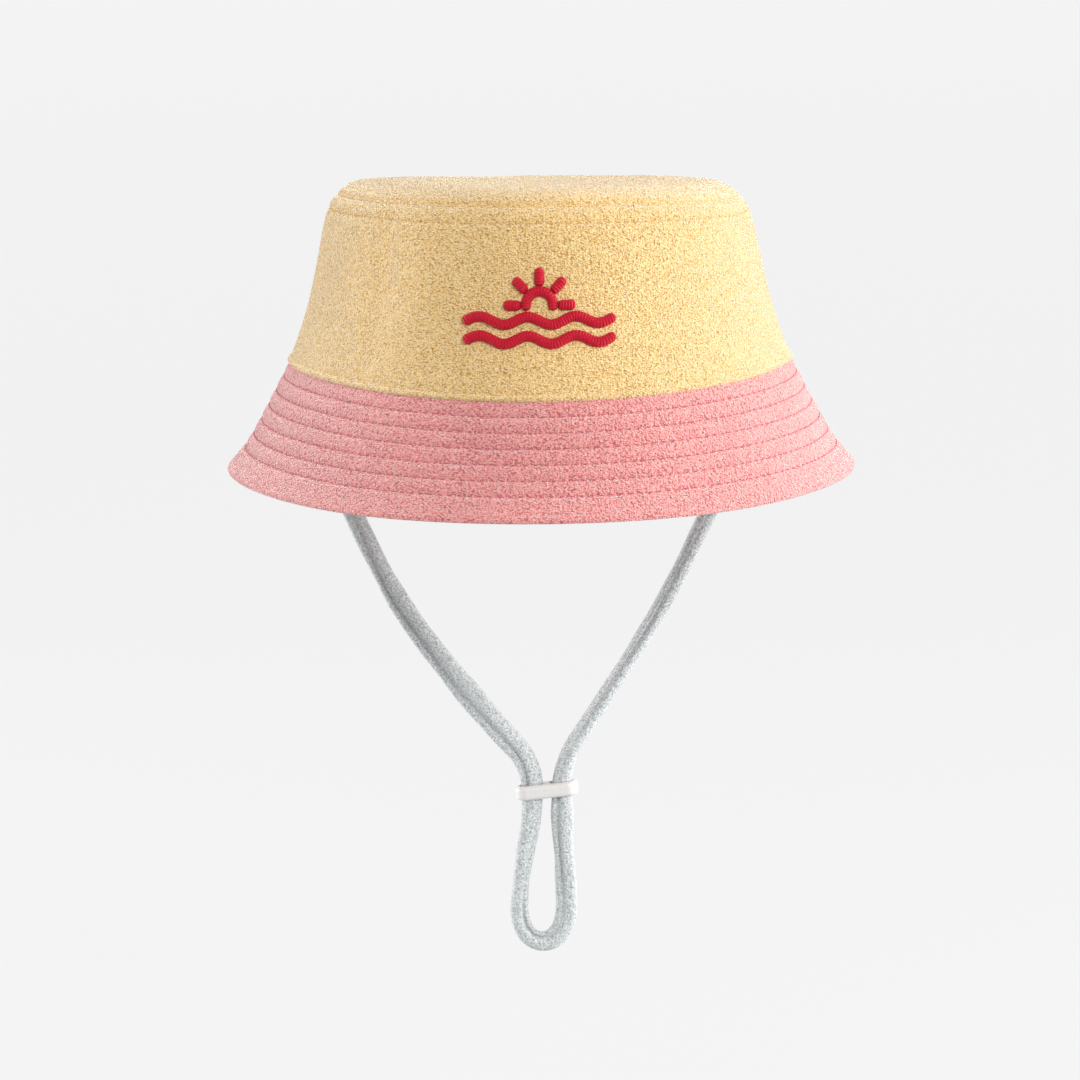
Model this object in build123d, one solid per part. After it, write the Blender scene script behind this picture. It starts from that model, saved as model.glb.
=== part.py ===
"""Toddler's bucket hat: terry crown and brim, cotton lining, sweatband, and a chin strap with a slider.

Millimetres. +Z is up and -Y is the front of the hat. The origin is the centre of the head opening,
in the plane of the seam between crown and brim. Fabric outlines are drawn as radius and height, and
turned about Z.
"""

from build123d import *
import math
import os

# --- driving dimensions -------------------------------------------------------------------------

SEAM_HALF_WIDTH = 79.0      # half the hat's width at the crown and brim seam
PLY_GAP = 0.1               # air left between neighbouring layers of cloth
SEAM_GAP = 0.2              # air left where two panels are sewn edge to edge
THREAD = 0.5                # diameter of the topstitching thread

TERRY = 1.6                 # cloth thicknesses
LINING = 0.6
INTERLINING = 0.8
UNDER_CLOTH = 1.0
BAND_CLOTH = 0.9

# Outer surface of the crown, as (radius, height), from the brim seam up to the flat of the top
CROWN_FOOT = (SEAM_HALF_WIDTH, SEAM_GAP / 2)
CROWN_WAIST = (72.4, 20.5)
CROWN_SHOULDER = (67.0, 45.5)
TOP_SEAM = (61.4, 54.8)
TOP_RIM = (52.4, 59.8)

# Outer surface of the brim, from the seam down to its edge
BRIM_ROOT = (SEAM_HALF_WIDTH + 0.3, -SEAM_GAP / 2)
BRIM_MIDDLE = (86.3, -13.5)
BRIM_KNEE = (92.6, -25.5)
BRIM_EDGE = (99.2, -33.8)

STITCH_ROWS = 6             # rings of topstitching on the brim
FIRST_ROW = 4.2             # distance down the brim from the seam to the first ring
ROW_PITCH = 5.1
INTERLINING_MARGIN = 1.5    # the interlining stops this far short of the brim's edge
TOP_STITCH_RISE = 0.9       # topstitching above and below the seam around the top
TOP_STITCH_DROP = 5.6
BASE_STITCH_RISE = 2.2      # edge stitching above the brim seam

BAND_FOOT = 1.0             # sweatband's lower edge above the brim seam, and its height
BAND_HEIGHT = 25.0
BAND_STITCH_MARGIN = 2.0

# Chin strap: a flattened cloth tube, drawn as an oval bar
STRAP_WIDTH = 6.6
STRAP_THICKNESS = 3.2
BEND_SHARE = 0.45           # share of the shorter neighbouring run that each bend takes up
STRAP_ROUTE = [
    (-71.2, -1.6), (-69.6, -17.0), (-64.8, -34.5), (-56.8, -54.0), (-44.8, -78.0),
    (-30.6, -97.5), (-14.6, -117.2), (-3.9, -128.8), (-3.8, -146.0), (-6.5, -158.5),
    (-8.4, -172.0), (-8.2, -187.0), (6.9, -187.3), (6.9, -172.5), (6.4, -158.8),
    (5.6, -146.0), (5.7, -128.4), (15.2, -113.9), (28.4, -93.6), (40.8, -73.0),
    (51.2, -51.0), (61.0, -32.5), (67.6, -15.8), (71.2, -1.6),
]

# Slider: an oval plastic bead with two oval holes, a little tilted on the strap
SLIDER_CENTRE = (0.85, -137.4)
SLIDER_TILT = 6.0
SLIDER_HEIGHT = 4.6
HOLE_PITCH = 9.5
HOLE_WIDTH = 7.8
HOLE_DEPTH = 4.0
SLIDER_WALL = 1.4
SLIDER_ROUNDING = 1.3

# Sewn-in ends of the strap, and their bar tacks
END_WIDTH = 7.6
END_THICKNESS = 1.6
END_HEIGHT = 10.0
END_FOOT = 2.6
TACK_WIDTH = 6.0
TACK_RISE = 4.0             # the bar tack's lower edge above the strap end's
TACK_HEIGHT = 1.6
TACK_THICKNESS = 0.6

# Raised embroidery on the front of the crown
EMBROIDERY_RISE = 1.5
STROKE = 2.8
MOTIF_WIDTH = 45.0
MOTIF_FOOT = 17.0           # height of the lower wave's middle line
WAVE_PITCH = 5.4
WAVE_SWING = 1.1
WAVE_CRESTS = 3
SUN_RADIUS = 4.0
SUN_FOOT = 26.7
RAY_START = 6.8
RAY_END = 9.2
RAY_COUNT = 5

os.makedirs("parts", exist_ok=True)


def save(shape, node):
    export_step(shape, f"parts/{node}.step")


# --- outlines -----------------------------------------------------------------------------------

crown_side_line = ThreePointArc(CROWN_FOOT, CROWN_WAIST, CROWN_SHOULDER)
crown_shoulder_line = TangentArc(CROWN_SHOULDER, TOP_SEAM, tangent=crown_side_line % 1)
crown_line = Wire([crown_side_line, crown_shoulder_line])
top_rim_line = TangentArc(TOP_SEAM, TOP_RIM, tangent=crown_shoulder_line % 1)
top_line = Line(TOP_RIM, (0, TOP_RIM[1]))
top_wire = Wire([top_rim_line, top_line])
brim_upper_line = ThreePointArc(BRIM_ROOT, BRIM_MIDDLE, BRIM_KNEE)
brim_lower_line = TangentArc(BRIM_KNEE, BRIM_EDGE, tangent=brim_upper_line % 1)
brim_line = Wire([brim_upper_line, brim_lower_line])


def layer(outline, depth, thickness, inward, start=0.0, end=0.0):
    """A closed section of cloth lying `depth` inside an outline, shortened at its two ends."""
    length = outline.length
    kept = outline.trim(start / length, 1 - end / length)
    section = make_face(offset(kept, amount=depth + thickness, side=inward, closed=True).edges())
    if depth:
        section -= make_face(offset(kept, amount=depth, side=inward, closed=True).edges())
    return section


def turned(section, arc=360.0, start=0.0):
    """Turn a radius-height section about Z."""
    solid = revolve(Plane.XZ * section, axis=Axis.Z, revolution_arc=arc)
    return Rot(0, 0, start) * solid


def half_panels(section):
    """Front and back halves of a ring of cloth, a seam's gap apart at the sides."""
    gap_angle = math.degrees(SEAM_GAP / 2 / SEAM_HALF_WIDTH)
    arc = 180 - 2 * gap_angle
    front = turned(section, arc, 180 + gap_angle)
    back = turned(section, arc, gap_angle)
    return front, back


def thread_ring(outline, along, proud=(THREAD + PLY_GAP) / 2):
    """A ring of thread lying on an outline, `along` millimetres from its start."""
    share = along / outline.length
    foot = outline @ share
    tangent = outline % share
    normal = Vector(tangent.Y, -tangent.X).normalized()
    if normal.X < 0:
        normal = -normal
    middle = foot + normal * proud
    return turned(Pos(middle.X, middle.Y) * Circle(THREAD / 2))


# --- crown --------------------------------------------------------------------------------------

side_cloth = layer(crown_line, 0, TERRY, Side.LEFT, end=SEAM_GAP / 2)
crown_front, crown_back = half_panels(side_cloth)
save(crown_front, "crown_side_front")
save(crown_back, "crown_side_back")


def disc_of_cloth(depth, thickness):
    """The round top of the crown or its lining, from its sewn edge to the middle."""
    return turned(layer(top_wire, depth, thickness, Side.LEFT, start=SEAM_GAP / 2))


save(disc_of_cloth(0, TERRY), "crown_top")

lining_depth = TERRY + PLY_GAP
side_lining = layer(crown_line, lining_depth, LINING, Side.LEFT, end=SEAM_GAP / 2)
lining_front, lining_back = half_panels(side_lining)
save(lining_front, "lining_side_front")
save(lining_back, "lining_side_back")
save(disc_of_cloth(lining_depth, LINING), "lining_top")

# --- brim ---------------------------------------------------------------------------------------

brim_top = layer(brim_line, 0, TERRY, Side.RIGHT)
brim_front, brim_back = half_panels(brim_top)
save(brim_front, "brim_top_front")
save(brim_back, "brim_top_back")

interlining_depth = TERRY + PLY_GAP
interlining = layer(brim_line, interlining_depth, INTERLINING, Side.RIGHT, end=INTERLINING_MARGIN)
save(turned(interlining), "brim_interlining")

under_depth = interlining_depth + INTERLINING + PLY_GAP
brim_under = layer(brim_line, under_depth, UNDER_CLOTH, Side.RIGHT)
under_front, under_back = half_panels(brim_under)
save(under_front, "brim_under_front")
save(under_back, "brim_under_back")

# --- sweatband ----------------------------------------------------------------------------------

band_depth = lining_depth + LINING + PLY_GAP
band = layer(crown_line, band_depth, BAND_CLOTH, Side.LEFT, start=BAND_FOOT,
             end=crown_line.length - BAND_FOOT - BAND_HEIGHT)
save(turned(band), "sweatband")

# --- topstitching -------------------------------------------------------------------------------

for row in range(STITCH_ROWS):
    save(thread_ring(brim_line, FIRST_ROW + row * ROW_PITCH), f"brim_stitch_row_{row + 1}")

save(thread_ring(top_wire, TOP_STITCH_RISE), "crown_top_stitch_upper")
save(thread_ring(crown_line, crown_line.length - TOP_STITCH_DROP), "crown_top_stitch_lower")
save(thread_ring(crown_line, BASE_STITCH_RISE), "crown_base_stitch")

band_stitch_height = BAND_FOOT + BAND_HEIGHT - BAND_STITCH_MARGIN
band_face = band_depth + BAND_CLOTH
save(thread_ring(crown_line, band_stitch_height, -band_face - THREAD), "sweatband_stitch")

# --- embroidery ---------------------------------------------------------------------------------


def raised(outline):
    """Fill an outline, seen from the front, with raised stitching that follows the crown."""
    prism = extrude(Plane.XZ * outline, 2 * SEAM_HALF_WIDTH)
    skin = layer(crown_line, PLY_GAP, EMBROIDERY_RISE, Side.RIGHT)
    return turned(skin) & prism


def stroke(path):
    """A round-ended stroke along a line."""
    body = trace(path, line_width=STROKE)
    ends = [Pos((path @ end).X, (path @ end).Y) * Circle(STROKE / 2) for end in (0, 1)]
    return body + ends


def wave(height):
    """A rolling line across the motif, made of equal arcs."""
    step = (MOTIF_WIDTH - STROKE) / (2 * WAVE_CRESTS)
    left = -(MOTIF_WIDTH - STROKE) / 2
    arcs = []
    for index in range(2 * WAVE_CRESTS):
        rise = WAVE_SWING if index % 2 == 0 else -WAVE_SWING
        start = (left + index * step, height)
        middle = (left + (index + 0.5) * step, height + rise)
        end = (left + (index + 1) * step, height)
        arcs.append(ThreePointArc(start, middle, end))
    return stroke(Wire(arcs))


save(raised(wave(MOTIF_FOOT)), "embroidery_wave_lower")
save(raised(wave(MOTIF_FOOT + WAVE_PITCH)), "embroidery_wave_upper")

sun_arc = CenterArc((0, SUN_FOOT), SUN_RADIUS, 0, 180)
sun = stroke(Wire([sun_arc]))
sun_pieces = [raised(sun)]
for ray in range(RAY_COUNT):
    angle = math.radians(180 * ray / (RAY_COUNT - 1))
    away = Vector(math.cos(angle), math.sin(angle))
    start = Vector(0, SUN_FOOT) + away * RAY_START
    end = Vector(0, SUN_FOOT) + away * RAY_END
    sun_pieces.append(raised(stroke(Wire([Line(start, end)]))))
save(Compound(children=[Compound(piece.solids()) for piece in sun_pieces]), "embroidery_sun")

# --- chin strap ---------------------------------------------------------------------------------


def corner_radii(route):
    """The bend radius for each corner of a route, as wide as its shorter neighbouring run allows."""
    radii = []
    for before, corner, after in zip(route, route[1:], route[2:]):
        arriving = Vector(*corner) - Vector(*before)
        leaving = Vector(*after) - Vector(*corner)
        half_turn = math.radians(arriving.get_angle(leaving) / 2)
        radii.append(BEND_SHARE * min(arriving.length, leaving.length) / math.tan(half_turn))
    return radii


route_radii = corner_radii(STRAP_ROUTE)
route_points = [Vector(x, 0, z) for x, z in STRAP_ROUTE]
strap_path = FilletPolyline(route_points, radius=route_radii)
strap_start = Plane(origin=route_points[0], x_dir=(0, 1, 0), z_dir=strap_path % 0)
strap = sweep(strap_start * Ellipse(STRAP_THICKNESS / 2, STRAP_WIDTH / 2), path=strap_path)
save(strap, "chin_strap")

section_area = math.pi * STRAP_WIDTH * STRAP_THICKNESS / 4
print("strap radii, mm:", [round(radius, 1) for radius in route_radii])
print("strap length, mm:", round(strap_path.length, 1))
print("strap volume over section x length:", round(strap.volume / (section_area * strap_path.length), 4))


def oval(width, depth):
    """An oval with round ends, `width` along X."""
    return SlotOverall(width, depth) if width > depth else Circle(width / 2)


slider_width = HOLE_PITCH + HOLE_WIDTH + 2 * SLIDER_WALL
slider_depth = HOLE_DEPTH + 2 * SLIDER_WALL
bead = extrude(oval(slider_width, slider_depth), SLIDER_HEIGHT / 2, both=True)
ends = bead.faces().sort_by(Axis.Z)
bead = fillet(ends[0].edges() + ends[-1].edges(), SLIDER_ROUNDING)
for side in (-1, 1):
    hole = extrude(oval(HOLE_WIDTH, HOLE_DEPTH), SLIDER_HEIGHT, both=True)
    bead -= Pos(side * HOLE_PITCH / 2, 0, 0) * hole
slider = Pos(SLIDER_CENTRE[0], 0, SLIDER_CENTRE[1]) * Rot(0, -SLIDER_TILT, 0) * bead
save(slider, "cord_slider")

# --- sewn-in strap ends -------------------------------------------------------------------------


def sewn_patch(width, thickness, foot, height, depth=0.0):
    """A flat patch against the inside of the sweatband, on the +X side."""
    section = layer(crown_line, band_face + PLY_GAP + depth, thickness, Side.LEFT, start=foot,
                    end=crown_line.length - foot - height)
    slab = Pos(SEAM_HALF_WIDTH, 0, 0) * Box(SEAM_HALF_WIDTH, width, 2 * SEAM_HALF_WIDTH)
    return turned(section) & slab


strap_end = sewn_patch(END_WIDTH, END_THICKNESS, END_FOOT, END_HEIGHT)
save(strap_end, "strap_end_right")
save(mirror(strap_end, about=Plane.YZ), "strap_end_left")

tack = sewn_patch(TACK_WIDTH, TACK_THICKNESS, END_FOOT + TACK_RISE, TACK_HEIGHT, END_THICKNESS + PLY_GAP)
save(tack, "bar_tack_right")
save(mirror(tack, about=Plane.YZ), "bar_tack_left")
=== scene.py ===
"""Looks of the toddler's bucket hat: every cloth panel, thread, and the hanging chin strap.

Lengths are in metres, apart from outlines, routes and the motif, which are listed in millimetres.
+Z is up and -Y is the front. Cloth is laid out on the hat's outer skin by distance along an outline,
angle round it, and depth inside it.
"""

import math

import bmesh
import bpy
import numpy as np
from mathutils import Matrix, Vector


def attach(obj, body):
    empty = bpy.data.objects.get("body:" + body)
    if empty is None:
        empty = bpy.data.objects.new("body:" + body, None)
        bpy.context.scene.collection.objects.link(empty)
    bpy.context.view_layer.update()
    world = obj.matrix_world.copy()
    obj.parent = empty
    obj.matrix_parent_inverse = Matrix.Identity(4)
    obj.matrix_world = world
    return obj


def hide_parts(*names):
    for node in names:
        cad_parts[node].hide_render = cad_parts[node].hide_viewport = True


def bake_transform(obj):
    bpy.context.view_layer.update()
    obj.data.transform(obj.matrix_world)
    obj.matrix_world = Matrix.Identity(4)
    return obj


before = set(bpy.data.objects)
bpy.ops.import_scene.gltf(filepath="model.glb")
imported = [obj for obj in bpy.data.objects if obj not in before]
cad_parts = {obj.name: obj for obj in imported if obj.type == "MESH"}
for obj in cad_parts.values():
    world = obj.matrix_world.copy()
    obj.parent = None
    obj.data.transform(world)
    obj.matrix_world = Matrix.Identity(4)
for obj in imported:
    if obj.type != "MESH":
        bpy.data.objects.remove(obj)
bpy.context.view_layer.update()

MM = 0.001

# --- driving dimensions -------------------------------------------------------------------------

TERRY = 1.6 * MM
LINING = 0.5 * MM
LINING_DEPTH = 1.8 * MM
BAND_CLOTH = 0.9 * MM
BAND_DEPTH = 2.5 * MM
UNDER_CLOTH = 1.0 * MM
UNDER_DEPTH = 2.5 * MM
INTERLINING = 0.6 * MM
INTERLINING_DEPTH = 1.75 * MM
SEAM_RADIUS = 79.0 * MM
BRIM_MEAN_RADIUS = 90.0 * MM
TOP_RADIUS = 62.0 * MM
TOP_MEAN_RADIUS = 50.0 * MM

FINE = 0.40 * MM            # mesh spacing on towelling
MEDIUM = 0.8 * MM           # on the brim's under face and the sweatband
PLAIN = 1.6 * MM            # on smooth cotton
LOOP_SIZE = 0.95 * MM       # spacing of the towelling loops
LOOP_HEIGHT = 0.28 * MM
LOOP_MEAN = 0.4             # share of a loop's height that lies below the cloth's mean surface
ROW_SINK = 0.30 * MM        # how far a row of stitching draws the cloth down
PIT_WIDTH = 0.55 * MM       # needle pits
BRIM_PIT = 0.55 * MM
CROWN_PIT = 0.5 * MM
ROLL = 1.6 * MM             # distance over which a sewn edge rolls under
TOP_ROLL = 1.8 * MM
SIDE_ROLL = 1.2 * MM
SIDE_GAP = 0.0006           # angle, in radians, left at each side edge of a half

THREAD = 0.5 * MM
STITCH_PITCH = 3.0 * MM
STITCH_SHARE = 0.56         # share of the pitch that a stitch covers
STITCH_BOW = 0.3 * MM       # rise of a stitch's middle over its ends
BRIM_STITCH_LIFT = -0.34 * MM
TOP_STITCH_LIFT = -0.30 * MM
CROWN_STITCH_LIFT = -0.25 * MM
BASE_STITCH_LIFT = -0.22 * MM

CROWN_LINE = [(78.9, -0.3), (75.9, 8.0), (73.0, 17.0), (70.8, 26.0), (69.0, 35.0), (67.5, 43.0),
              (66.1, 48.8), (64.5, 52.0), (62.7, 54.6)]
TOP_LINE = [(63.1, 53.5), (62.2, 55.5), (60.2, 57.3), (57.0, 58.6), (52.0, 59.3), (38.0, 59.5),
            (18.0, 59.1), (0.0, 58.9)]
BRIM_LINE = [(78.0, 0.9), (82.2, -6.8), (85.4, -13.0), (88.8, -19.4), (92.2, -25.4), (95.6, -30.0),
             (98.7, -33.7)]
STITCH_ROWS = 6
FIRST_ROW = 5.9 * MM
ROW_PITCH = 5.1 * MM
TOP_STITCH_RISE = 1.8 * MM
TOP_STITCH_DROP = 5.6 * MM
BASE_STITCH_RISE = 2.2 * MM
BAND_HEIGHT = 25.0 * MM
BAND_STITCH_MARGIN = 2.0 * MM

MOTIF_HALF_WIDTH = 21.1     # the motif, in millimetres as seen from the front
WAVE_FOOT = 17.0
WAVE_PITCH = 5.4
WAVE_SWING = 1.1
WAVE_CRESTS = 3
SUN_FOOT = 26.7
SUN_RADIUS = 4.0
RAY_START = 6.8
RAY_END = 9.2
RAY_COUNT = 5
STROKE = 3.1 * MM
PUFF = 1.9 * MM
SATIN_PITCH = 0.84 * MM     # spacing of the ridges of thread across a stroke

CROWN_RISE = 58.0 * MM      # heights over which the soft departures from a true round grow
BRIM_FALL = 34.0 * MM
SEAM_DIP = 2.0 * MM
FOLD_DEPTH = 1.1 * MM
PUCKER_RISE = 0.5 * MM
EDGE_WAVE = 0.7 * MM
BACK_SAG = 6.8 * MM
RIGHT_SAG = 2.8 * MM

STRAP_WIDTH = 7.8 * MM
STRAP_THICKNESS = 3.8 * MM
STRAP_SIDES = 48
CREASE_WIDTH = 0.16         # over half the strap's width
KNIT_PITCH = 0.9 * MM
KNIT_RELIEF = 0.05 * MM
STRAP_LEFT = [(-71.2, -1.6), (-69.6, -17.0), (-64.8, -34.5), (-56.8, -54.0), (-44.8, -78.0),
              (-30.6, -97.5), (-14.6, -117.2), (-3.9, -128.8), (-3.85, -137.4)]
STRAP_LOOP = [(-3.85, -137.4), (-3.8, -146.0), (-6.5, -158.5), (-8.2, -171.0), (-8.5, -180.8), (-4.6, -187.3),
              (2.6, -187.5), (6.9, -180.2), (6.8, -170.0), (6.2, -158.8), (5.6, -146.0), (5.65, -137.4)]
STRAP_RIGHT = [(71.2, -1.6), (67.6, -15.8), (61.0, -32.5), (51.2, -51.0), (40.8, -73.0),
               (28.4, -93.6), (15.2, -113.9), (5.7, -128.4), (5.65, -137.4)]

# --- camera and light ---------------------------------------------------------------------------

scene = bpy.context.scene
scene.view_settings.view_transform = "Standard"
scene.view_settings.look = "None"

CAMERA_PLACE = (0, -1.2, 0.14)
CAMERA_AIM = (0, 0, -0.0562)
CAMERA_ROLL = math.radians(-0.56)
LIGHT_AIM = (0, 0, -0.03)
FLOOR_HEIGHT = -0.32
FLOOR_REACH = 30.0
BACKDROP_GREY = (0.885, 0.885, 0.885, 1)


def make_camera():
    """A long lens a little above the brim, looking slightly down at the hat."""
    data = bpy.data.cameras.new("camera")
    data.lens = 127.7
    data.sensor_width = 36.0
    data.shift_x = -0.0017
    camera = bpy.data.objects.new("camera", data)
    scene.collection.objects.link(camera)
    camera.location = CAMERA_PLACE
    look = Vector(CAMERA_AIM) - camera.location
    turn = look.to_track_quat("-Z", "Y").to_matrix().to_4x4()
    camera.matrix_world = (camera.matrix_world.Translation(camera.location) @ turn
                           @ turn.Rotation(CAMERA_ROLL, 4, "Z"))
    scene.camera = camera


def make_light(name, place, size, power, colour):
    data = bpy.data.lights.new(name, "AREA")
    data.shape = "DISK"
    data.size = size
    data.energy = power
    data.color = colour
    light = bpy.data.objects.new(name, data)
    scene.collection.objects.link(light)
    light.location = place
    look = Vector(LIGHT_AIM) - Vector(place)
    light.rotation_euler = look.to_track_quat("-Z", "Y").to_euler()


def make_floor():
    """A wide pale floor well below the strap."""
    mesh = bpy.data.meshes.new("floor")
    corners = [(-1, -1), (1, -1), (1, 1), (-1, 1)]
    places = [(x * FLOOR_REACH, y * FLOOR_REACH, FLOOR_HEIGHT) for x, y in corners]
    mesh.from_pydata(places, [], [(0, 1, 2, 3)])
    floor = bpy.data.objects.new("floor", mesh)
    scene.collection.objects.link(floor)
    material = bpy.data.materials.new("floor")
    material.use_nodes = True
    shader = material.node_tree.nodes["Principled BSDF"]
    shader.inputs["Base Color"].default_value = (0.03, 0.03, 0.03, 1)
    shader.inputs["Roughness"].default_value = 1.0
    shader.inputs["Emission Color"].default_value = BACKDROP_GREY
    shader.inputs["Emission Strength"].default_value = 0.91
    mesh.materials.append(material)


def make_sky():
    """A pale even sky of the floor's grey."""
    world = bpy.data.worlds.new("sky")
    world.use_nodes = True
    background = world.node_tree.nodes["Background"]
    background.inputs["Color"].default_value = BACKDROP_GREY
    background.inputs["Strength"].default_value = 0.975
    scene.world = world


make_camera()
make_floor()
make_sky()
make_light("key", (0.7, -1.4, 0.9), 0.6, 21, (1.0, 0.99, 0.97))
make_light("side", (1.3, 0.0, 0.10), 0.7, 22, (1.0, 1.0, 1.0))
make_light("left_rim", (-1.2, 0.4, -0.15), 0.7, 22, (1.0, 1.0, 1.0))

# --- materials ----------------------------------------------------------------------------------


def new_material(name):
    """A material's nodes, links, main shader and the place on the object that textures read."""
    material = bpy.data.materials.new(name)
    material.use_nodes = True
    nodes = material.node_tree.nodes
    place = nodes.new("ShaderNodeTexCoord").outputs["Object"]
    return material, nodes, material.node_tree.links, nodes["Principled BSDF"], place


def feed(links, source, socket):
    """Give a socket a link, a colour or a number."""
    if isinstance(source, bpy.types.NodeSocket):
        links.new(source, socket)
    elif isinstance(source, tuple):
        socket.default_value = (*source, 1)
    else:
        socket.default_value = source


def mixed(nodes, links, factor, first, second, blend="MIX"):
    mix = nodes.new("ShaderNodeMix")
    mix.data_type = "RGBA"
    mix.blend_type = blend
    feed(links, factor, mix.inputs["Factor"])
    feed(links, first, mix.inputs["A"])
    feed(links, second, mix.inputs["B"])
    return mix.outputs["Result"]


def noise(nodes, links, place, scale, detail=2, roughness=0.5):
    texture = nodes.new("ShaderNodeTexNoise")
    texture.inputs["Scale"].default_value = scale
    texture.inputs["Detail"].default_value = detail
    texture.inputs["Roughness"].default_value = roughness
    links.new(place, texture.inputs["Vector"])
    return texture.outputs["Fac"]


def stretch(nodes, links, value, low, high):
    """A value rescaled so that low gives 0 and high gives 1."""
    reach = nodes.new("ShaderNodeMapRange")
    reach.inputs["From Min"].default_value = low
    reach.inputs["From Max"].default_value = high
    links.new(value, reach.inputs["Value"])
    return reach.outputs["Result"]


def raise_grain(nodes, links, height, strength, distance, under=None, invert=False):
    """A surface normal bent by a height, over an earlier normal if one is given."""
    bump = nodes.new("ShaderNodeBump")
    bump.invert = invert
    bump.inputs["Strength"].default_value = strength
    bump.inputs["Distance"].default_value = distance
    links.new(height, bump.inputs["Height"])
    if under:
        links.new(under, bump.inputs["Normal"])
    return bump.outputs["Normal"]


def finish_cloth(shader, roughness, specular, sheen, sheen_roughness=0.5, sheen_tint=(1, 1, 1)):
    shader.inputs["Roughness"].default_value = roughness
    shader.inputs["Specular IOR Level"].default_value = specular
    shader.inputs["Sheen Weight"].default_value = sheen
    shader.inputs["Sheen Roughness"].default_value = sheen_roughness
    shader.inputs["Sheen Tint"].default_value = (*sheen_tint, 1)


def towelling(name, painted_valley_shade, mid, pale, sheen_tint):
    """Terry: looped pile, with painted shade darkening the colour in the hollows between the loops and paler
    on their crowns.
    """
    material, nodes, links, shader, place = new_material(name)
    rows = nodes.new("ShaderNodeVectorMath")
    rows.operation = "MULTIPLY"
    rows.inputs[1].default_value = (1.0, 1.0, 1.35)
    links.new(place, rows.inputs[0])
    cells = nodes.new("ShaderNodeTexVoronoi")
    cells.inputs["Scale"].default_value = 1450
    cells.inputs["Randomness"].default_value = 0.8
    links.new(rows.outputs["Vector"], cells.inputs["Vector"])
    from_crown = cells.outputs["Distance"]
    fine = noise(nodes, links, place, 1300, detail=4)
    broad = noise(nodes, links, place, 28)
    # painted shade: the colour deepens away from each loop's crown, standing in for shade in the hollows
    # between the loops
    colour = mixed(nodes, links, stretch(nodes, links, from_crown, 0.25, 0.70), mid, painted_valley_shade)
    colour = mixed(nodes, links, stretch(nodes, links, fine, 0.40, 0.85), colour, pale)
    colour = mixed(nodes, links, 0.18, colour, broad, "MULTIPLY")
    links.new(colour, shader.inputs["Base Color"])
    normal = raise_grain(nodes, links, from_crown, 0.9, 0.0007, invert=True)
    normal = raise_grain(nodes, links, fine, 0.8, 0.0005, under=normal)
    links.new(normal, shader.inputs["Normal"])
    finish_cloth(shader, 1.0, 0.15, 1.0, 0.35, sheen_tint)
    return material


def woven(name, first, second, scale, strength, sheen=0.2, roughness=0.9):
    """Plain woven or knitted cloth: two crossed sets of fine threads with some unevenness."""
    material, nodes, links, shader, place = new_material(name)
    cross = nodes.new("ShaderNodeMath")
    cross.operation = "MAXIMUM"
    for index, direction in enumerate(("X", "Z")):
        wave = nodes.new("ShaderNodeTexWave")
        wave.bands_direction = direction
        wave.inputs["Scale"].default_value = scale
        wave.inputs["Distortion"].default_value = 1.2
        wave.inputs["Detail"].default_value = 1
        links.new(place, wave.inputs["Vector"])
        links.new(wave.outputs["Fac"], cross.inputs[index])
    mottle = noise(nodes, links, place, scale * 1.6, detail=3)
    links.new(mixed(nodes, links, mottle, first, second), shader.inputs["Base Color"])
    normal = raise_grain(nodes, links, cross.outputs["Value"], strength, 0.0002)
    links.new(normal, shader.inputs["Normal"])
    finish_cloth(shader, roughness, 0.2, sheen)
    return material


def melange(name, dark, mid, pale):
    """Soft pile jersey of mixed fibres: dark and pale flecks, finer than the cloth's ribs."""
    material, nodes, links, shader, place = new_material(name)
    fleck = noise(nodes, links, place, 1700, detail=5, roughness=0.7)
    ramp = nodes.new("ShaderNodeValToRGB")
    ramp.color_ramp.elements[0].position = 0.33
    ramp.color_ramp.elements[0].color = (*dark, 1)
    ramp.color_ramp.elements[1].position = 0.66
    ramp.color_ramp.elements[1].color = (*pale, 1)
    middle = ramp.color_ramp.elements.new(0.48)
    middle.color = (*mid, 1)
    links.new(fleck, ramp.inputs["Fac"])
    links.new(ramp.outputs["Color"], shader.inputs["Base Color"])
    links.new(raise_grain(nodes, links, fleck, 0.8, 0.0005), shader.inputs["Normal"])
    finish_cloth(shader, 0.95, 0.2, 0.4, 0.4)
    return material


def moulded(name, colour):
    """White moulded plastic with a faint grain and a soft gloss."""
    material, nodes, links, shader, place = new_material(name)
    grain = noise(nodes, links, place, 900)
    darker = tuple(channel * 0.94 for channel in colour)
    links.new(mixed(nodes, links, grain, colour, darker), shader.inputs["Base Color"])
    links.new(raise_grain(nodes, links, grain, 0.08, 0.0001), shader.inputs["Normal"])
    shader.inputs["Roughness"].default_value = 0.34
    shader.inputs["Subsurface Weight"].default_value = 0.12
    shader.inputs["Subsurface Scale"].default_value = 0.002
    return material


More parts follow.
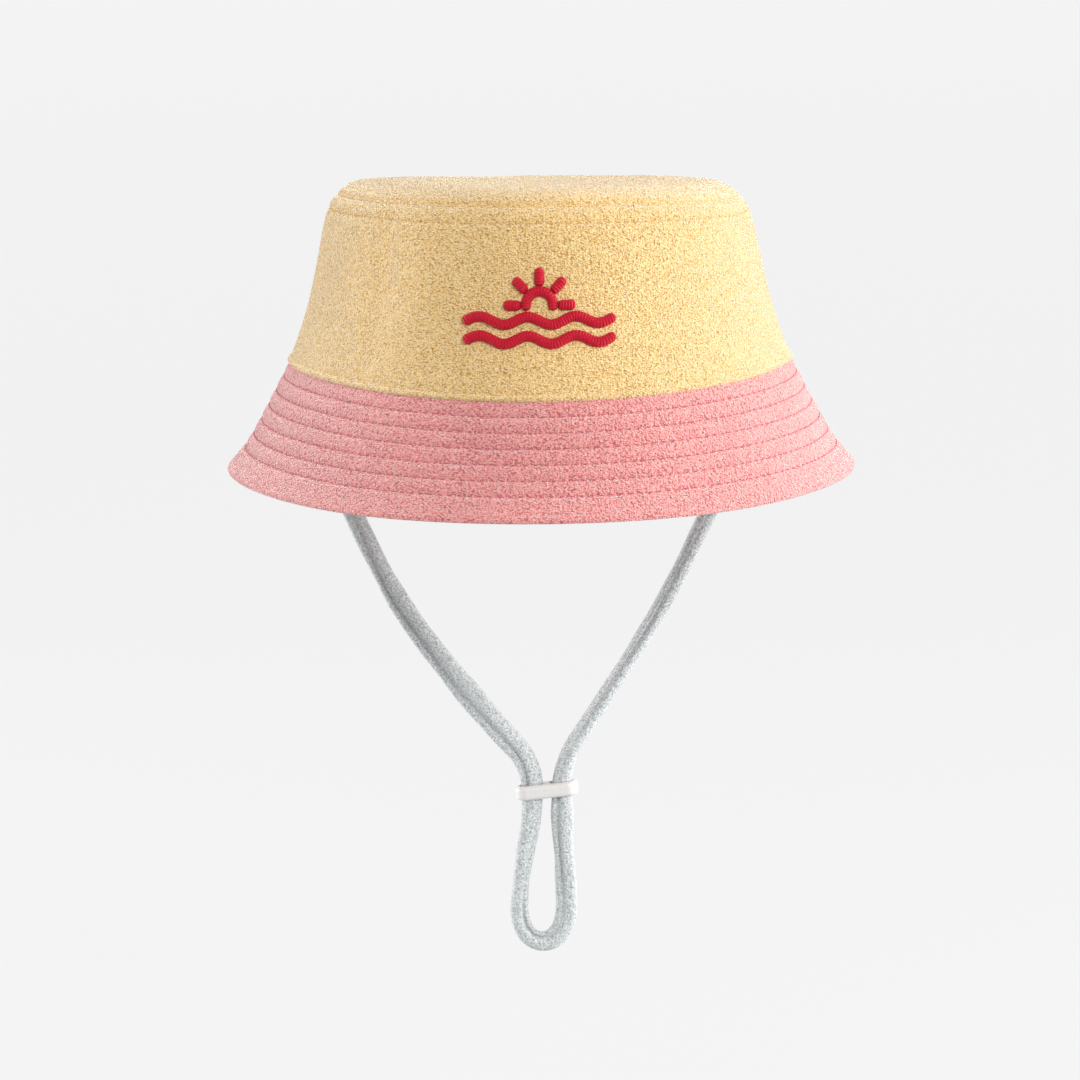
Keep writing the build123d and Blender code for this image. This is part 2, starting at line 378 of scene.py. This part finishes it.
MATERIALS = {
    # the first colour of each towelling is the painted shade between its loops
    "terry_yellow": towelling("terry_yellow", (0.50, 0.27, 0.07), (0.88, 0.60, 0.255), (0.94, 0.76, 0.44),
                              (1.0, 0.95, 0.84)),
    "terry_pink": towelling("terry_pink", (0.46, 0.11, 0.11), (0.84, 0.325, 0.305), (0.93, 0.50, 0.48),
                            (1.0, 0.90, 0.89)),
    "lining_cotton": woven("lining_cotton", (0.84, 0.76, 0.62), (0.90, 0.84, 0.72), 900, 0.5),
    "interlining_white": woven("interlining_white", (0.80, 0.80, 0.78), (0.9, 0.9, 0.88), 400, 0.8),
    "sweatband_cotton": woven("sweatband_cotton", (0.84, 0.79, 0.70), (0.92, 0.88, 0.80), 700, 0.7),
    "thread_pink": woven("thread_pink", (0.46, 0.09, 0.12), (0.58, 0.15, 0.17), 1800, 0.6),
    "thread_yellow": woven("thread_yellow", (0.60, 0.33, 0.11), (0.72, 0.44, 0.16), 1800, 0.6),
    "thread_cream": woven("thread_cream", (0.80, 0.74, 0.62), (0.88, 0.83, 0.72), 1800, 0.6),
    "embroidery_red": woven("embroidery_red", (0.34, 0.002, 0.012), (0.52, 0.004, 0.026), 1500, 0.5,
                            sheen=0.03, roughness=0.42),
    "strap_jersey": melange("strap_jersey", (0.20, 0.225, 0.235), (0.43, 0.46, 0.47), (0.72, 0.745, 0.75)),
    "slider_plastic": moulded("slider_plastic", (0.60, 0.595, 0.59)),
}

# --- the hat's surface --------------------------------------------------------------------------


def smooth_line(points):
    """A dense smooth line through a few points in millimetres, in metres, with its running length."""
    corners = np.array(points, float) * MM
    padded = np.vstack([2 * corners[0] - corners[1], corners, 2 * corners[-1] - corners[-2]])
    steps = np.linspace(0, 1, 40, endpoint=False)[:, None]
    spans = []
    for a, b, c, d in zip(padded, padded[1:], padded[2:], padded[3:]):
        spans.append(0.5 * (2 * b + (c - a) * steps + (2 * a - 5 * b + 4 * c - d) * steps ** 2
                            + (3 * b - a - 3 * c + d) * steps ** 3))
    dense = np.vstack(spans + [corners[-1:]])
    length = np.concatenate([[0], np.cumsum(np.linalg.norm(np.diff(dense, axis=0), axis=1))])
    return dense, length


CROWN = smooth_line(CROWN_LINE)
TOP = smooth_line(TOP_LINE)
BRIM = smooth_line(BRIM_LINE)


def along(line, distance):
    """Radius, height and outward normal at distances along a line."""
    dense, length = line
    at = np.clip(distance, 0, length[-1])
    radius = np.interp(at, length, dense[:, 0])
    height = np.interp(at, length, dense[:, 1])
    tangent = np.gradient(dense, length, axis=0)
    tr = np.interp(at, length, tangent[:, 0])
    tz = np.interp(at, length, tangent[:, 1])
    size = np.hypot(tr, tz)
    nr, nz = tz / size, -tr / size
    flip = np.where(nr * radius + nz * np.abs(height) < 0, -1, 1)
    return radius, height, nr * flip, nz * flip


def bell(value, middle, width):
    """A smooth rise to 1 at the middle, fading either side."""
    return np.exp(-((value - middle) / width) ** 2)


def softness(angle, radius, height):
    """How the soft hat departs from a true round: a dipped seam, a shallow fold, a low back."""
    crown_share = np.clip(height / CROWN_RISE, 0, 1)
    brim_share = np.clip(-height / BRIM_FALL, 0, 1)
    dip = SEAM_DIP * np.cos(2 * angle) * (1 - crown_share) * (1 - 0.25 * brim_share)
    swell = 0.4 * MM * np.sin(3 * angle + 0.7) + 0.3 * MM * np.sin(5 * angle - 1.1)
    waist = np.sin(np.pi * crown_share)
    fold = -FOLD_DEPTH * bell(angle, -2.32, 0.075) * waist
    pucker = PUCKER_RISE * bell(angle, -2.10, 0.10) * waist
    edge = EDGE_WAVE * np.sin(4 * angle + 2.0) * brim_share ** 2
    behind = np.clip(radius * np.sin(angle - 0.12) / (55 * MM), 0, 1)
    right = np.clip(radius * np.cos(angle) / TOP_RADIUS, 0, 1)
    sag = -(BACK_SAG * behind + RIGHT_SAG * right ** 2) * crown_share ** 3
    return swell + fold + pucker + edge, dip + 0.5 * edge + sag


def surface(line, distance, angle, depth):
    """Points of the hat's skin, `depth` inside it, at distances and angles (arrays alike in shape)."""
    radius, height, nr, nz = along(line, distance)
    swell, dip = softness(angle, radius, height)
    fade = np.clip(radius / (20 * MM), 0, 1)
    radius = radius + swell * fade - nr * depth
    height = height + dip * fade - nz * depth
    return np.stack([radius * np.cos(angle), radius * np.sin(angle), height], axis=-1)


def loops(u, v, seed):
    """Heights, 0 to 1, of rounded towelling loops on jittered cells over surface distances."""
    u, v = u / LOOP_SIZE, v / LOOP_SIZE
    column, row = np.floor(u), np.floor(v)
    nearest = np.full(u.shape, 9.0)
    for du in (-1, 0, 1):
        for dv in (-1, 0, 1):
            i, j = column + du, row + dv
            jitter = np.sin(i * 127.1 + j * 311.7 + seed) * 43758.5453
            other = np.sin(i * 269.5 + j * 183.3 + seed) * 24634.6345
            cu = i + 0.5 + 0.62 * (jitter - np.floor(jitter) - 0.5)
            cv = j + 0.5 + 0.62 * (other - np.floor(other) - 0.5)
            nearest = np.minimum(nearest, (u - cu) ** 2 + (v - cv) ** 2)
    return np.clip(1 - nearest / 0.5, 0, 1)


def link(name, mesh, slot, body="hat"):
    mesh.materials.append(MATERIALS[slot])
    mesh.polygons.foreach_set("use_smooth", [True] * len(mesh.polygons))
    piece = bpy.data.objects.new(name, mesh)
    scene.collection.objects.link(piece)
    if body:
        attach(piece, body)
    return piece


def grid_quads(rows, columns, closed=False):
    """Point numbers of the quads over a grid; closed joins the last column to the first."""
    index = np.arange(rows * columns).reshape(rows, columns)
    if closed:
        index = np.hstack([index, index[:, :1]])
    corners = [index[:-1, :-1], index[:-1, 1:], index[1:, 1:], index[1:, :-1]]
    return np.stack(corners, axis=-1).reshape(-1, 4)


def grid_mesh(name, points, closed=False):
    """A mesh of quads over a grid of points, rows by columns."""
    rows, columns, _ = points.shape
    quads = grid_quads(rows, columns, closed)
    mesh = bpy.data.meshes.new(name)
    mesh.vertices.add(rows * columns)
    mesh.vertices.foreach_set("co", points.reshape(-1).astype(np.float32))
    mesh.loops.add(quads.size)
    mesh.loops.foreach_set("vertex_index", quads.reshape(-1).astype(np.int32))
    mesh.polygons.add(len(quads))
    mesh.polygons.foreach_set("loop_start", np.arange(0, quads.size, 4, dtype=np.int32))
    mesh.update(calc_edges=True)
    mesh.validate()
    return mesh


def weld(mesh):
    """Join the points where a panel's two skins meet, so that it is one closed piece of cloth."""
    work = bmesh.new()
    work.from_mesh(mesh)
    bmesh.ops.remove_doubles(work, verts=work.verts, dist=1e-6)
    bmesh.ops.dissolve_degenerate(work, edges=work.edges, dist=1e-7)
    bmesh.ops.recalc_face_normals(work, faces=work.faces)
    work.to_mesh(mesh)
    work.free()
    return mesh


def tuck(distance, length, roll, depth):
    """Depth added near both ends of a panel, where its edge rolls under into a seam."""
    near = np.minimum(distance, length - distance)
    share = np.clip(1 - near / roll, 0, 1)
    return depth * (1 - np.sqrt(np.clip(1 - share ** 2, 0, 1)))


def panel(name, line, slot, half, depth, thickness, step, pile=0.0, relief=None, span=None, seed=1.0,
          roll=ROLL, mean=SEAM_RADIUS):
    """A panel of cloth on the hat: an outer skin and an inner skin, rolled together at its edges."""
    first, last = span or (0.0, line[1][-1])
    length = last - first
    rows = max(int(length / step), 6)
    distance = np.linspace(first, last, rows)
    start, end = {"front": (-math.pi, 0), "back": (0, math.pi), "whole": (-math.pi, math.pi)}[half]
    columns = int((end - start) * mean / step)
    if half == "whole":
        angle = np.linspace(start, end, columns, endpoint=False)
    else:
        angle = np.linspace(start + SIDE_GAP, end - SIDE_GAP, columns)
    skins = []
    for inner in (False, True):
        v, a = np.meshgrid(distance, angle, indexing="ij")
        extra = tuck(v - first, length, roll, thickness / 2)
        if half != "whole":
            side = np.minimum(a - angle[0], angle[-1] - a) * mean
            share = np.clip(1 - side / SIDE_ROLL, 0, 1)
            extra = np.maximum(extra, thickness / 2 * (1 - np.sqrt(1 - share ** 2)))
        inside = depth + (thickness - extra if inner else extra)
        away = np.clip((thickness / 2 - extra) / (thickness / 2) * 1.6, 0, 1)
        if relief is not None and not inner:
            height, pile_share = relief(v, a)
            inside = inside - away * height
            inside = inside - away * pile * pile_share * (loops(a * mean, v, seed) - LOOP_MEAN)
        skins.append(surface(line, v, a, inside))
    points = np.vstack([skins[0], skins[1][::-1]])
    return link(name, weld(grid_mesh(name, points, closed=half == "whole")), slot)


ROWS = [FIRST_ROW + row * ROW_PITCH for row in range(STITCH_ROWS)]


def stitch_count(line, distance):
    """How many stitches go once round the hat at a distance along a line."""
    radius = float(along(line, np.array([distance]))[0][0])
    return int(2 * math.pi * radius / STITCH_PITCH)


def needle_holes(v, a, row, count, depth):
    """Small pits where each stitch of a row enters the cloth."""
    return depth * np.clip(np.cos(a * count), 0, 1) ** 6 * bell(v, row, PIT_WIDTH)


def brim_relief(v, a):
    """Cloth drawn down along the brim's stitching rows, with flattened pile and needle holes."""
    height = np.full(v.shape, 0.10 * MM)
    pile_share = np.ones(v.shape)
    for row in ROWS:
        near = bell(v, row, 0.75 * MM)
        height -= ROW_SINK * bell(v, row, 1.1 * MM) + 0.15 * MM * near
        height -= needle_holes(v, a + math.pi, row, stitch_count(BRIM, row), BRIM_PIT)
        pile_share -= 0.85 * near
    return height, pile_share


def crown_relief(v, a):
    """Puffed bands at the crown's foot and shoulder, either side of its stitching."""
    row = crown_length - TOP_STITCH_DROP
    height = 0.85 * MM * bell(v, 0.9 * MM, 1.1 * MM)
    height -= ROW_SINK * bell(v, BASE_STITCH_RISE, 0.7 * MM)
    height -= ROW_SINK * bell(v, row, 0.9 * MM)
    height -= needle_holes(v, a + math.pi, row, stitch_count(CROWN, row), CROWN_PIT)
    height += 0.35 * MM * bell(v, crown_length - 0.5 * TOP_STITCH_DROP, 1.8 * MM)
    return height, 1 - 0.8 * bell(v, row, 0.7 * MM)


def declare(node):
    """Hide a CAD node whose cloth panel is built here."""
    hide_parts(node)


crown_length = CROWN[1][-1]
brim_length = BRIM[1][-1]

for half, seed in (("front", 1.0), ("back", 2.0)):
    name = f"crown_side_{half}"
    piece = panel(name + "_cloth", CROWN, "terry_yellow", half, 0.0, TERRY, FINE, LOOP_HEIGHT, crown_relief,
                  seed=seed)
    declare(name)
    name = f"brim_top_{half}"
    piece = panel(name + "_cloth", BRIM, "terry_pink", half, 0.0, TERRY, FINE, LOOP_HEIGHT, brim_relief,
                  seed=seed + 4, mean=BRIM_MEAN_RADIUS)
    declare(name)
    name = f"brim_under_{half}"
    piece = panel(name + "_cloth", BRIM, "terry_pink", half, UNDER_DEPTH, UNDER_CLOTH, MEDIUM,
                  span=(0.0, brim_length - 1.4 * MM), mean=BRIM_MEAN_RADIUS)
    declare(name)
    name = f"lining_side_{half}"
    piece = panel(name + "_cloth", CROWN, "lining_cotton", half, LINING_DEPTH, LINING, PLAIN)
    declare(name)

piece = panel("brim_interlining_cloth", BRIM, "interlining_white", "whole", INTERLINING_DEPTH, INTERLINING,
              PLAIN, span=(0.5 * MM, brim_length - 2.6 * MM), roll=0.3 * MM, mean=BRIM_MEAN_RADIUS)
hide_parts("brim_interlining")
piece = panel("sweatband_cloth", CROWN, "sweatband_cotton", "whole", BAND_DEPTH, BAND_CLOTH, MEDIUM,
              span=(0.3 * MM, BAND_HEIGHT))
declare("sweatband")


def disc(name, slot, depth, thickness, step, pile, seed):
    """The round top: rings of points from its sewn edge in to a small centre."""
    length = TOP[1][-1]
    distance = np.linspace(0, length, int(length / step))
    angle = np.linspace(-math.pi, math.pi, int(2 * math.pi * TOP_MEAN_RADIUS / step), endpoint=False)
    v, a = np.meshgrid(distance, angle, indexing="ij")
    radius = along(TOP, v)[0]
    skins = []
    for inner in (False, True):
        extra = tuck(v, 4 * length, TOP_ROLL, thickness / 2)     # only the sewn edge rolls
        inside = depth + (thickness - extra if inner else extra)
        if pile and not inner:
            fade = np.clip(radius / (4 * MM), 0, 1)
            height = loops(radius * np.cos(a), radius * np.sin(a), seed) - LOOP_MEAN
            inside = inside - fade * pile * height
            inside = inside + 0.3 * MM * bell(v, TOP_STITCH_RISE, 0.4 * MM)
        skins.append(surface(TOP, v, a, inside))
    points = np.vstack([skins[0][::-1], skins[1]])
    return link(name, weld(grid_mesh(name, points, closed=True)), slot)


for node, slot, depth, thickness, step, pile in (
        ("crown_top", "terry_yellow", 0.0, TERRY, FINE, LOOP_HEIGHT),
        ("lining_top", "lining_cotton", LINING_DEPTH, LINING, PLAIN, 0.0)):
    piece = disc(node + "_cloth", slot, depth, thickness, step, pile, 3.0)
    declare(node)

# --- stitching ----------------------------------------------------------------------------------


def tube_points(path, widths, heights, across, sides):
    """Rings of points round a path; `across` gives each ring's wide direction."""
    tangent = np.gradient(path, axis=0)
    tangent /= np.linalg.norm(tangent, axis=1, keepdims=True)
    across = across - (across * tangent).sum(1, keepdims=True) * tangent
    across /= np.linalg.norm(across, axis=1, keepdims=True)
    other = np.cross(tangent, across)
    turn = np.linspace(0, 2 * math.pi, sides, endpoint=False)
    return (path[:, None, :] + across[:, None, :] * (widths[:, None] * np.cos(turn))[..., None]
            + other[:, None, :] * (heights[:, None] * np.sin(turn))[..., None])


def stitches(name, node, slot, line, distance, proud):
    """A row of separate lockstitches round the hat, each dipping into the cloth at both ends."""
    count = stitch_count(line, distance)
    step = 2 * math.pi / count
    sides, rings = 6, 7
    grids = []
    for number in range(count):
        place = np.linspace(0, 1, rings)
        angle = -math.pi + (number + 0.5 + (place - 0.5) * STITCH_SHARE) * step
        bow = np.sin(math.pi * place)
        lift = proud + STITCH_BOW * (bow - 0.55)
        path = surface(line, np.full(rings, distance), angle, -lift)
        across = np.tile([0.0, 0.0, 1.0], (rings, 1))
        width = THREAD / 2 * (0.55 + 0.45 * bow)
        grids.append(tube_points(path, width, width, across, sides))
    quads = grid_quads(rings, sides, closed=True)
    faces = []
    for number in range(count):
        base = number * rings * sides
        faces.extend((quads + base).tolist())
        faces.append([base + side for side in range(sides)][::-1])
        faces.append([base + (rings - 1) * sides + side for side in range(sides)])
    mesh = bpy.data.meshes.new(name)
    mesh.from_pydata(np.vstack([grid.reshape(-1, 3) for grid in grids]).tolist(), [], faces)
    piece = link(name, mesh, slot)
    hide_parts(node)


for number, row in enumerate(ROWS):
    stitches(f"brim_row_{number + 1}_thread", f"brim_stitch_row_{number + 1}", "thread_pink", BRIM, row,
             BRIM_STITCH_LIFT)
stitches("crown_top_upper_thread", "crown_top_stitch_upper", "thread_yellow", TOP, TOP_STITCH_RISE,
         TOP_STITCH_LIFT)
stitches("crown_top_lower_thread", "crown_top_stitch_lower", "thread_yellow", CROWN,
         crown_length - TOP_STITCH_DROP, CROWN_STITCH_LIFT)
stitches("crown_base_thread", "crown_base_stitch", "thread_yellow", CROWN, BASE_STITCH_RISE,
         BASE_STITCH_LIFT)
stitches("sweatband_thread", "sweatband_stitch", "thread_cream", CROWN, BAND_HEIGHT - BAND_STITCH_MARGIN,
         -(BAND_DEPTH + BAND_CLOTH + 0.05 * MM))

# --- embroidery ---------------------------------------------------------------------------------


def on_front(x, z, lift):
    """Points `lift` above the front of the crown, at places given as seen from the front."""
    dense, length = CROWN
    rising = np.argsort(dense[:, 1])
    distance = np.interp(z, dense[rising, 1], length[rising])
    radius = along(CROWN, distance)[0]
    angle = -math.pi / 2 + np.arcsin(np.clip(x / radius, -1, 1))
    return surface(CROWN, distance, angle, -lift)


def satin(path):
    """A puffed satin stroke along a path seen from the front, ridged by the threads across it."""
    step = 0.12 * MM
    length = np.concatenate([[0], np.cumsum(np.hypot(*np.diff(path, axis=0).T))])
    at = np.arange(-STROKE / 2, length[-1] + STROKE / 2, step)
    inside = np.clip(at, 0, length[-1])
    middle = np.stack([np.interp(inside, length, path[:, k]) for k in (0, 1)], axis=1)
    tangent = np.stack([np.interp(inside, length, np.gradient(path[:, k], length)) for k in (0, 1)], axis=1)
    tangent /= np.linalg.norm(tangent, axis=1, keepdims=True)
    middle = middle + tangent * (at - inside)[:, None]
    beyond = np.abs(at - inside) / (STROKE / 2)
    half = STROKE / 2 * np.sqrt(np.clip(1 - beyond ** 2, 0.02, 1))
    ridge = 0.5 + 0.5 * np.cos(2 * math.pi * at / SATIN_PITCH)
    half = half * (1 - 0.035 * (1 - ridge))
    normal = np.stack([-tangent[:, 1], tangent[:, 0]], axis=1)
    across = np.linspace(-1, 1, 15)
    side = np.sin(across * math.pi / 2)
    x = middle[:, :1] + normal[:, :1] * half[:, None] * side
    z = middle[:, 1:] + normal[:, 1:] * half[:, None] * side
    dome = np.sqrt(np.clip(1 - side ** 2, 0, 1)) ** 0.8
    lift = (PUFF * dome * (half / (STROKE / 2))[:, None]) - (1 - ridge)[:, None] * 0.26 * MM * dome
    return on_front(x, z, lift)


def embroider(name, node, paths):
    """Satin strokes as one piece; each quad is turned over so that it faces out."""
    verts, faces, base = [], [], 0
    for path in paths:
        grid = satin(path)
        rows, columns, _ = grid.shape
        quads = grid_quads(rows, columns)[:, [0, 3, 2, 1]] + base
        faces.extend(quads.tolist())
        verts.append(grid.reshape(-1, 3))
        base += rows * columns
    mesh = bpy.data.meshes.new(name)
    mesh.from_pydata(np.vstack(verts).tolist(), [], faces)
    piece = link(name, mesh, "embroidery_red")
    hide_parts(node)


def wave_path(height):
    x = np.linspace(-MOTIF_HALF_WIDTH, MOTIF_HALF_WIDTH, 240)
    turns = (x + MOTIF_HALF_WIDTH) / (2 * MOTIF_HALF_WIDTH) * WAVE_CRESTS
    return np.stack([x, height + WAVE_SWING * np.sin(2 * math.pi * turns)], axis=1) * MM


def sun_paths():
    turn = np.linspace(0, math.pi, 60)
    rim = np.stack([SUN_RADIUS * np.cos(turn), SUN_FOOT + SUN_RADIUS * np.sin(turn)], axis=1) * MM
    paths = [rim]
    reach = np.linspace(RAY_START, RAY_END, 12)[:, None]
    for angle in np.linspace(0, math.pi, RAY_COUNT):
        away = np.array([math.cos(angle), math.sin(angle)])
        paths.append((np.array([0, SUN_FOOT]) + reach * away) * MM)
    return paths


embroider("wave_lower_satin", "embroidery_wave_lower", [wave_path(WAVE_FOOT)])
embroider("wave_upper_satin", "embroidery_wave_upper", [wave_path(WAVE_FOOT + WAVE_PITCH)])
embroider("sun_satin", "embroidery_sun", sun_paths())

# --- chin strap ---------------------------------------------------------------------------------


def spline_points(name, route):
    """Points read from a smooth NURBS curve whose control points are a route."""
    curve = bpy.data.curves.new(name, "CURVE")
    curve.dimensions = "3D"
    curve.resolution_u = 24
    spline = curve.splines.new("NURBS")
    spline.points.add(len(route) - 1)
    for point, (x, z) in zip(spline.points, route):
        point.co = (x * MM, 0, z * MM, 1)
    spline.order_u = 3
    spline.use_endpoint_u = True
    holder = bpy.data.objects.new(name, curve)
    scene.collection.objects.link(holder)
    depsgraph = bpy.context.evaluated_depsgraph_get()
    mesh = bpy.data.meshes.new_from_object(holder.evaluated_get(depsgraph))
    points = np.array([vertex.co for vertex in mesh.vertices])
    bpy.data.objects.remove(holder)
    bpy.data.curves.remove(curve)
    bpy.data.meshes.remove(mesh)
    length = np.concatenate([[0], np.cumsum(np.linalg.norm(np.diff(points, axis=0), axis=1))])
    at = np.linspace(0, length[-1], int(length[-1] / (0.5 * MM)))
    return np.stack([np.interp(at, length, points[:, k]) for k in range(3)], axis=1), at, length[-1]


def ripple(at, length, phase=0):
    """A wave between -1 and 1 along the strap, repeating at a length."""
    return np.sin(at / length * 2 * math.pi + phase)


def strand(name, route, facing, width, groove):
    """A stretch of the flattened cloth tube, creased along its length.

    `facing`, `width` and `groove` each pair shares of the length with values there: how far the flat
    side faces front, the width over the full width, and the crease's depth. A third value in `groove`
    places the crease across the strap.
    """
    path, at, length = spline_points(name, route)
    share = at / length
    tangent = np.gradient(path, axis=0)
    tangent /= np.linalg.norm(tangent, axis=1, keepdims=True)
    in_plane = np.stack([-tangent[:, 2], np.zeros(len(path)), tangent[:, 0]], axis=1)
    angle = (math.pi / 2) * np.interp(share, facing[0], facing[1])
    across = np.sin(angle)[:, None] * in_plane + np.cos(angle)[:, None] * np.array([0.0, 1.0, 0.0])
    half = np.interp(share, width[0], width[1]) * STRAP_WIDTH / 2
    half = half * (1 + 0.03 * ripple(at, 37 * MM) + 0.02 * ripple(at, 19 * MM, 1))
    thick = STRAP_THICKNESS / 2 * (1 + 0.25 * (1 - half / (STRAP_WIDTH / 2)))
    other = np.cross(tangent, across)
    turn = np.linspace(0, 2 * math.pi, STRAP_SIDES, endpoint=False)
    flat = np.sign(np.cos(turn)) * np.abs(np.cos(turn)) ** 0.85
    tall = np.sign(np.sin(turn)) * np.abs(np.sin(turn)) ** 0.9
    depth = np.interp(share, groove[0], groove[1])[:, None]
    drift = groove[2] + 0.08 * ripple(at, 41 * MM)
    line = bell(flat[None, :], drift[:, None], CREASE_WIDTH)
    crease = depth * line * np.clip(np.abs(np.sin(turn)) * 3, 0, 1)
    knit = KNIT_RELIEF * ripple(at, KNIT_PITCH)[:, None] * np.ones(len(turn))
    points = (path[:, None, :]
              + across[:, None, :] * (half[:, None] * flat)[..., None]
              + other[:, None, :] * ((thick[:, None] + knit) * tall * (1 - crease))[..., None])
    piece = link(name, grid_mesh(name, points, closed=True), "strap_jersey", None)
    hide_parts("chin_strap")
    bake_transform(piece)
    return length


LEFT_SHAPE = ([0, 0.45, 0.75, 0.92, 1.0], [0.74, 0.84, 1.04, 1.0, 0.84])
RIGHT_SHAPE = ([0, 0.3, 0.8, 0.93, 1.0], [0.84, 0.72, 0.66, 0.74, 0.84])
LOOP_SHAPE = ([0, 0.08, 0.3, 0.48, 0.62, 0.80, 0.93, 1.0], [0.82, 0.80, 0.70, 0.78, 0.95, 0.80, 0.97, 0.84])
lengths = [
    strand("strap_left_cloth", STRAP_LEFT, ([0, 0.25, 0.55, 1], [0.5, 0.75, 0.95, 1.0]), LEFT_SHAPE,
           ([0.0, 0.3, 0.55, 1.0], [0.1, 0.3, 0.8, 0.8], -0.35)),
    strand("strap_right_cloth", STRAP_RIGHT, ([0, 0.4, 0.7, 1], [0.6, 0.9, 0.9, 1.0]), RIGHT_SHAPE,
           ([0.0, 0.45, 0.6, 0.8, 1.0], [0.0, 0.1, 0.7, 0.5, 0.2], -0.3)),
    strand("strap_loop_cloth", STRAP_LOOP, ([0, 0.3, 0.5, 0.7, 1], [1, 0.85, 0.95, 0.85, 1]), LOOP_SHAPE,
           ([0.0, 0.3, 0.42, 0.5, 0.6, 0.75, 1.0], [0.0, 0.2, 0.8, 0.6, 0.3, 0.7, 0.8], 0.35)),
]
print("strap lengths", [round(length, 4) for length in lengths])


END_HALF_ANGLE = 3.8 / 76   # half the width of a sewn end over the sweatband's radius
END_START = -0.5 * MM
END_TOP = 12.4 * MM
END_CLOTH = 1.6 * MM
TACK_HEIGHT = 7.4 * MM
TACK_SWING = 0.8 * MM
TACK_HALF_ANGLE = 0.036
TACK_LIFT = 1.35 * MM
TACK_THREAD_RADIUS = 0.22 * MM
TACK_STITCHES = 12


def sewn_end(side, name):
    """The flattened end of the strap on the sweatband, with a bar of close zigzag over it."""
    band_face = BAND_DEPTH + BAND_CLOTH
    middle = 0.0 if side > 0 else math.pi
    distance = np.linspace(END_START, END_TOP, 26)
    angle = np.linspace(-END_HALF_ANGLE, END_HALF_ANGLE, 20)
    v, a = np.meshgrid(distance, angle, indexing="ij")
    from_ends = np.minimum(v - END_START, END_TOP - v) / (2 * MM)
    edge = np.minimum(1 - np.abs(a) / END_HALF_ANGLE, from_ends)
    pinch = 1 - 0.3 * bell(v, TACK_HEIGHT, 1.2 * MM)
    lift = END_CLOTH * np.clip(edge * 3, 0, 1) ** 0.5 * pinch
    foot = surface(CROWN, np.clip(v, 0, 1), middle + a, band_face + lift)
    end = f"strap_end_{name}"
    piece = link(end + "_cloth", grid_mesh(end + "_cloth", foot), "strap_jersey")
    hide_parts(end)

    corners = np.arange(2 * TACK_STITCHES + 1)
    fine = np.linspace(0, corners[-1], 6 * corners[-1] + 1)
    zigzag = np.linspace(-TACK_HALF_ANGLE, TACK_HALF_ANGLE, len(corners))
    heights = TACK_HEIGHT + TACK_SWING * (-1.0) ** corners
    bar_angle = np.interp(fine, corners, zigzag)
    bar_height = np.interp(fine, corners, heights)
    path = surface(CROWN, bar_height, middle + bar_angle, band_face + TACK_LIFT)
    across = np.tile([1.0, 0.0, 0.0], (len(path), 1))
    half = np.full(len(path), TACK_THREAD_RADIUS)
    tack = f"bar_tack_{name}"
    grid = tube_points(path, half, half, across, 6)
    piece = link(tack + "_thread", grid_mesh(tack + "_thread", grid, closed=True), "thread_cream")
    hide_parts(tack)


sewn_end(1, "right")
sewn_end(-1, "left")

# --- carried-over parts -------------------------------------------------------------------------

slider = bpy.data.objects["cord_slider"]
slider.data.materials.clear()
slider.data.materials.append(MATERIALS["slider_plastic"])
